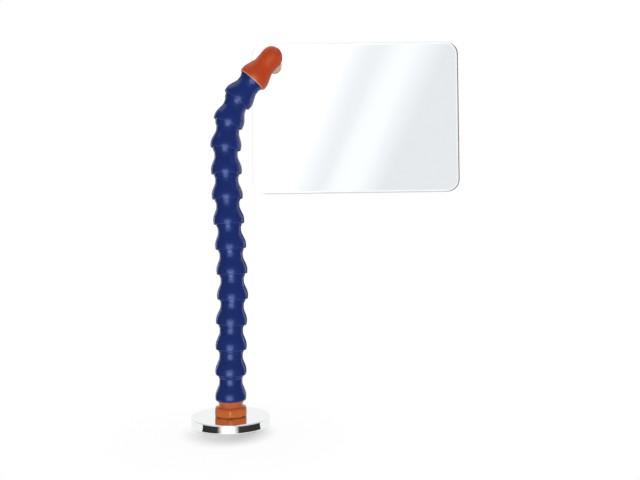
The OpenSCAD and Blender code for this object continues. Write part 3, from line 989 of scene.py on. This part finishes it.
# the backdrop is white where it is seen, and lights the scene more weakly
world = bpy.data.worlds.new("studio")
scene.world = world
world.use_nodes = True
sky = world.node_tree
sky.nodes.clear()
path = add_node(sky, "ShaderNodeLightPath").outputs
seen = calculate(sky, "MAXIMUM", path["Is Camera Ray"], path["Is Glossy Ray"])
seen = calculate(sky, "MAXIMUM", seen, path["Is Transmission Ray"])
air = add_node(sky, "ShaderNodeBackground", None,
               {"Color": WHITE, "Strength": ramp(sky, seen, 0.42, 1.0)})
add_node(sky, "ShaderNodeOutputWorld", None, {"Surface": air.outputs[0]})


def area_light(name, place, aim, shape, power):
    """An area light at a place in the studio, turned towards another."""
    light = bpy.data.lights.new(name, "AREA")
    light.shape = shape
    light.energy = power
    item = bpy.data.objects.new(name, light)
    item.location = place
    item.rotation_euler = (Vector(aim) - Vector(place)).to_track_quat("-Z", "Y").to_euler()
    item.visible_transmission = False
    scene.collection.objects.link(item)
    return item


def lamp(name, place, aim, size, power):
    """A round soft box. The cards and panels stand for it in reflections."""
    item = area_light(name, place, aim, "DISK", power)
    item.data.size = size
    item.visible_glossy = False


lamp("key", (-0.35, 0.5, 1.2), aim=(0, 0, 0.1), size=0.9, power=6.0)
lamp("front", (0.1, -1.25, 0.22), aim=(0.03, 0, 0.02), size=0.8, power=4.9)
lamp("low", (0.7, -0.8, 0.08), aim=(0.03, 0, 0.3), size=0.5, power=1.5)


def panel(name, place, aim, wide, high, glow, group):
    """A bright panel that only the gloss of the group's pieces shows. It hides nothing, and its
    glow is on the scale of the cards' strengths."""
    item = area_light(name, place, aim, "RECTANGLE", glow * math.pi * wide * high)
    item.data.size = wide
    item.data.size_y = high
    item.visible_diffuse = False
    item.light_linking.receiver_collection = group


# the bright front that the plastics' highlights show: upright panels low behind the camera, each
# (left, right, height, glow), and panels out on the floor, each (left, right, near, far, glow)
FRONT_PANELS = ((-0.41, 0.33, 0.25, 2.6), (-0.30, 0.21, 0.22, 3.6), (-0.13, 0.10, 0.20, 3.6))
FRONT_PANEL_Y = -0.82
for left, right, top, glow in FRONT_PANELS:
    middle = (left + right) / 2
    panel(f"front_panel_{top * 100:.0f}", (middle, FRONT_PANEL_Y, top / 2), (middle, 0, top / 2),
          right - left, top, glow, PLASTICS)
FLOOR_PANELS = ((-0.036, 0.028, 0.068, 0.12, 2.5), (-0.062, 0.048, 0.13, 0.22, 8.0),
                (-0.11, 0.085, 0.24, 0.42, 3.0), (-0.24, 0.18, 0.42, 0.8, 6.5))
for left, right, near, far, glow in FLOOR_PANELS:
    middle, depth = (left + right) / 2, -(near + far) / 2
    panel(f"floor_panel_{far * 100:.0f}", (middle, depth, LOW_Z), (middle, depth, 1),
          right - left, far - near, glow, PLASTICS)

# panels at both sides that draw the pale line inside the arm's edges, and a wider pair and one
# near panel on the floor that draw the edges and faces of the connector
SIDE_DISTANCE = 1.3
for side, sign in (("left", -1), ("right", 1)):
    panel(side + "_panel", polar(sign * 125.0, SIDE_DISTANCE, 0.45), aim=(0, 0, 0.45),
          wide=0.08, high=0.9, glow=7.0, group=ARM)
    panel(side + "_foot_panel", polar(sign * 120.0, SIDE_DISTANCE, 0.3), aim=(0, 0, 0.02),
          wide=0.45, high=0.6, glow=3.2, group=CONNECTOR)
panel("near_foot_panel", (-0.003, -0.092, FOOT_Z), aim=(-0.003, -0.092, 1), wide=0.042,
      high=0.05, glow=9.0, group=CONNECTOR)

# the floor before the base, as its side mirrors it: dark, bright in the middle, dark again. Each
# row is its distance from the base's axis and the azimuths at which it has these strengths.
NEAR_FLOOR_GLOW = (0.03, 0.04, 1.2, 1.2, 0.04, 0.03)
NEAR_FLOOR_END = 0.0685
NEAR_FLOOR = ((0.0383, (-36.5, -11.5, -3.5, 12.5, 20.0, 55.5)),
              (0.0520, (-48.0, -16.0, -7.0, 13.5, 22.5, 68.0)),
              (NEAR_FLOOR_END, (-56.0, -20.0, -10.0, 14.5, 25.0, 76.0)))
card("near_floor_card", [[(polar(a, d, LOW_Z), s) for a, s in zip(azimuths, NEAR_FLOOR_GLOW)]
                         for d, azimuths in NEAR_FLOOR])

# flags: cards that are black to the plastics, and pale to the metal and the plate, on the floor
# and up the walls between these azimuths at both sides, close behind the arm, and high in front
FLOOR_FLAG = ((NEAR_FLOOR_END, FLAG_Z, 0.9), (SIDE_DISTANCE, FLAG_Z, 0.9))
WALL_FLAG = ((SIDE_DISTANCE, 0.0, 0.9), (SIDE_DISTANCE, 0.5, 0.6), (SIDE_DISTANCE, 1.6, 0.45))
for side, left, right in (("left", -125, -32), ("right", 32, 125)):
    side_flag(side + "_floor_flag", FLOOR_FLAG, left, right)
    side_flag(side + "_flag", WALL_FLAG, left, right)
# the heights of its rows and their right ends
BACK_FLAG = ((0.036, 0.06), (0.24, 0.06), (0.42, 0.1))
BACK_FLAG_LEFT, BACK_FLAG_Y, BACK_FLAG_GLOW = -0.06, 0.06, 1.0
card("back_flag", [[((x, BACK_FLAG_Y, z), BACK_FLAG_GLOW) for x in (BACK_FLAG_LEFT, 0.0, right)]
                   for z, right in BACK_FLAG], BRIGHT)
# the depths and heights of its rows
HIGH_FLAG = ((-1.6, 0.0), (-1.6, 1.5), (-0.5, 2.4))
HIGH_FLAG_REACH, HIGH_FLAG_GLOW = 1.4, 0.7
card("front_high_flag", [[((x, y, z), HIGH_FLAG_GLOW)
                          for x in (-HIGH_FLAG_REACH, 0.0, HIGH_FLAG_REACH)]
                         for y, z in HIGH_FLAG], BRIGHT)

# a nearly level camera, turned left and tilted up by 0.61 degrees
LENS = 37.74
SENSOR = 36
CAMERA_TURN = math.radians(0.61)
CAMERA_TILT = math.radians(90.61)
camera = bpy.data.objects.new("camera", bpy.data.cameras.new("camera"))
camera.data.sensor_width = SENSOR
camera.data.lens = LENS
camera.location = (0.0934, -0.652, 0.1712)
camera.rotation_euler = (CAMERA_TILT, 0, CAMERA_TURN)
scene.collection.objects.link(camera)
scene.camera = camera
scene.view_settings.view_transform = "Standard"

# glare on the plate: its bright field, the grey band, the second bright band and the dim corner.
# Each starts and ends at a column of the camera's view, given along the card's top and along its
# bottom, and the light runs evenly from one to the next. The view is this many columns wide, and
# the card's top and bottom show on the plate at these heights in metres.
VIEW_WIDE = 640
FOCAL = LENS / SENSOR * VIEW_WIDE
TOP_Z, BOTTOM_Z = 0.40, 0.215
GLARE_Y = -1.5
FIELD_GLARE, GREY_GLARE, SECOND_GLARE, CORNER_GLARE = 6.3, 1.5, 3.5, 0.0
GLARE = ((200, 200, FIELD_GLARE), (338, 264, FIELD_GLARE), (380, 309, GREY_GLARE),
         (394, 315, GREY_GLARE), (416, 328, SECOND_GLARE), (424, 350, SECOND_GLARE),
         (460, 377, CORNER_GLARE), (560, 500, CORNER_GLARE))


def beyond_plate(column, height, card_y):
    """Where a card at that depth is met by the ray to a column of the view and a height on the
    plate: behind the plate along the ray, and before the plate along its mirror image."""
    depth = PLATE_FRONT * MM - camera.location.y
    sideways = (column - VIEW_WIDE / 2) / FOCAL * depth - math.tan(CAMERA_TURN) * depth
    at_x = camera.location.x + sideways
    share = abs(card_y - PLATE_FRONT * MM) / depth
    return (at_x + (at_x - camera.location.x) * share, card_y,
            height + (height - camera.location.z) * share)


def plate_card(name, points, card_y, group=None):
    """A card at that depth, placed by what the plate shows of it."""
    return card(name, [[(beyond_plate(top, TOP_Z, card_y), s) for top, _, s in points],
                       [(beyond_plate(low, BOTTOM_Z, card_y), s) for _, low, s in points]], group)


plate_card("glare_card", GLARE, GLARE_Y, BRIGHT)

# the backdrop shines a little more behind the plate's bright field
FIELD_Y = 0.8
FIELD = ((200, 200, 1.34), (348, 274, 1.34), (364, 290, 1.0))
field_card = plate_card("field_card", FIELD, FIELD_Y)
field_card.visible_glossy = False
field_card.visible_transmission = True

low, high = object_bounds()
